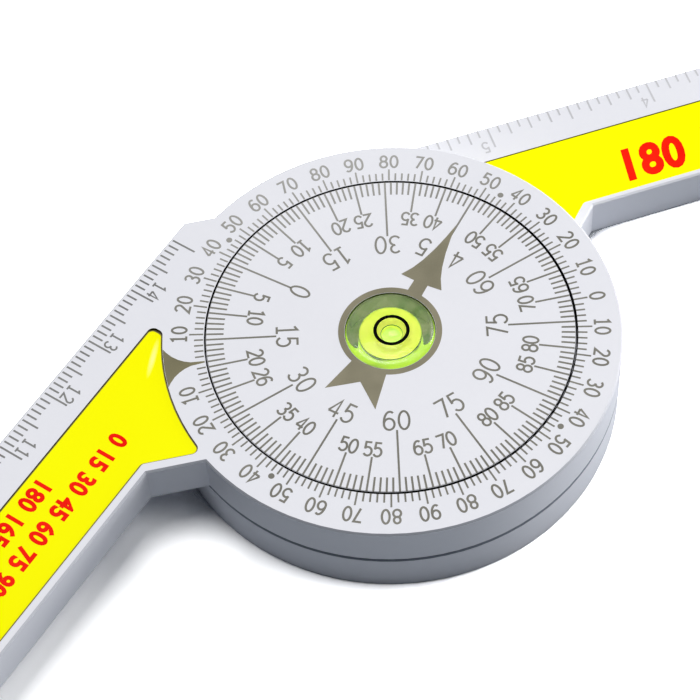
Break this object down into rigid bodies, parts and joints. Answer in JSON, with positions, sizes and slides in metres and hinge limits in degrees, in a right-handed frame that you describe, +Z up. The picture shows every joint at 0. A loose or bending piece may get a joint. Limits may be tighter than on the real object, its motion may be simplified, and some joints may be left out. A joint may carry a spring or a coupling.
{
  "type": "mitre protractor",
  "caption": "Flat mitre-saw protractor: lapped ruler arms turn on a round hub with a ring scale, an inner dial and a bull's-eye bubble level.",
  "frame": {"origin": "on the pivot axis, at the underside of the lower leaf's hub, which lies on the table", "axes": "+Z up through the dial, the face with the scales upwards; +X along the lower arm, from the pivot towards its free end; +Y towards the lower arm's ruler edge"},
  "size_m": [0.295, 0.1131, 0.0143],
  "materials": {
    "body_plastic": "fine satin moulded plastic, pale lavender grey",
    "dial_plastic": "fine satin moulded plastic, pale lavender grey",
    "screw_steel": "zinc-plated steel",
    "spring_steel": "spring steel strip",
    "vial_acrylic": "clear polished acrylic",
    "vial_liquid": "yellow-green level fluid",
    "plug_plastic": "pale yellow-green plastic",
    "label_yellow": "glossy yellow label",
    "ink_olive": "olive-grey printing ink",
    "ink_black": "black printing ink",
    "ink_red": "red printing ink"
  },
  "bodies": {
    "lower_leaf": {"lower_arm": "body_plastic", "dial_plate": "dial_plastic", "dial_screws": "screw_steel", "wave_washer": "spring_steel", "vial_body": "vial_acrylic", "vial_liquid": "vial_liquid", "vial_plug": "plug_plastic", "lower_arm_label": "label_yellow"},
    "upper_leaf": {"upper_arm": "body_plastic", "upper_arm_label": "label_yellow"}
  },
  "joints": [
    {"name": "arm_pivot", "type": "hinge", "parent": "lower_leaf", "child": "upper_leaf", "pos_m": [0, 0, 0.0105], "axis": [0, 0, 1], "continuous": true}
  ]
}
